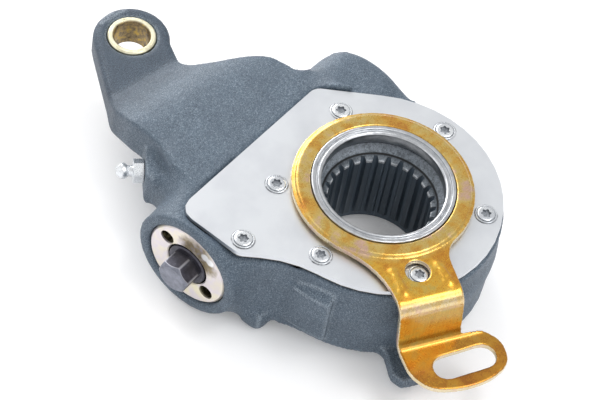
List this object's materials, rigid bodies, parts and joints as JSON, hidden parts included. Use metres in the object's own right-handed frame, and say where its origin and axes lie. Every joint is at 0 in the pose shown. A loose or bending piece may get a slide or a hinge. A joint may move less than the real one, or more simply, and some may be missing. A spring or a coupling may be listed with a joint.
{
  "type": "brake slack adjuster",
  "caption": "Automatic slack adjuster for a drum brake camshaft: cast housing with push rod eye, worm gear, splined wheel, hexagon and slotted control arm.",
  "frame": {"origin": "camshaft axis in the plane of the housing's rear face", "axes": "+Z along the camshaft towards the control arm side, +Y towards the push rod eye, -X towards the adjusting hexagon"},
  "size_m": [0.1215, 0.2084, 0.0482],
  "materials": {
    "painted_cast_iron": "rough sand cast, dark blue-grey coating",
    "bright_zinc": "bright zinc plate",
    "yellow_zinc": "yellow passivated zinc plate",
    "machined_steel": "turned",
    "dark_steel": "hardened, dark",
    "cream_zinc": "pale cream zinc plate",
    "bronze": "bearing bronze, machined",
    "seal_rubber": "black nitrile",
    "gasket_paper": "matt fibre sheet",
    "spring_steel": "drawn wire"
  },
  "bodies": {
    "housing_group": {"housing": "painted_cast_iron", "clevis_bush": "bronze", "grease_nipple": "bright_zinc", "bearing_cap": "cream_zinc", "shaft_seal": "seal_rubber", "cap_bearing": "machined_steel", "cover_plate": "bright_zinc", "cover_gasket": "gasket_paper", "cover_screw_1": "bright_zinc", "cover_screw_2": "bright_zinc", "cover_screw_3": "bright_zinc", "cover_screw_4": "bright_zinc", "cover_screw_5": "bright_zinc", "cover_screw_6": "bright_zinc", "cover_screw_7": "bright_zinc", "roller_cage": "machined_steel", "spring_seat": "machined_steel", "main_spring": "spring_steel", "spring_plug": "dark_steel", "worm_bush": "bronze", "rear_seal": "seal_rubber"},
    "control_group": {"control_arm": "yellow_zinc", "control_disc": "machined_steel", "collar_seal": "seal_rubber"},
    "rack_group": {"rack": "dark_steel"},
    "pinion_group": {"clutch_pinion": "dark_steel", "clutch_spring": "spring_steel"},
    "worm_group": {"worm_shaft": "dark_steel", "clutch_wheel": "dark_steel", "thrust_washer_front": "machined_steel"},
    "wheel_group": {"worm_wheel": "dark_steel"}
  },
  "joints": [
    {"name": "control_arm_swing", "type": "hinge", "parent": "housing_group", "child": "control_group", "pos_m": [0, 0, 0.045], "axis": [0, 0, 1], "range_deg": [-14, 8]},
    {"name": "rack_slide", "type": "slide", "parent": "housing_group", "child": "rack_group", "axis": [0, 1, 0], "range_m": [-0.0046, 0.0078]},
    {"name": "clutch_pinion_turn", "type": "hinge", "parent": "housing_group", "child": "pinion_group", "pos_m": [-0.0415, 0.0384, 0.0206], "axis": [1, 0, 0], "range_deg": [-38, 22]},
    {"name": "worm_turn", "type": "hinge", "parent": "housing_group", "child": "worm_group", "pos_m": [0, 0.0384, 0.0206], "axis": [1, 0, 0], "continuous": true},
    {"name": "worm_wheel_turn", "type": "hinge", "parent": "housing_group", "child": "wheel_group", "pos_m": [0, 0, 0.02], "axis": [0, 0, 1], "continuous": true}
  ],
  "couplings": [
    {"joint": "rack_slide", "follows": "control_arm_swing", "m_per_rad": -0.0311},
    {"joint": "clutch_pinion_turn", "follows": "control_arm_swing", "ratio": 2.5917},
    {"joint": "worm_wheel_turn", "follows": "worm_turn", "ratio": 0.041667}
  ]
}
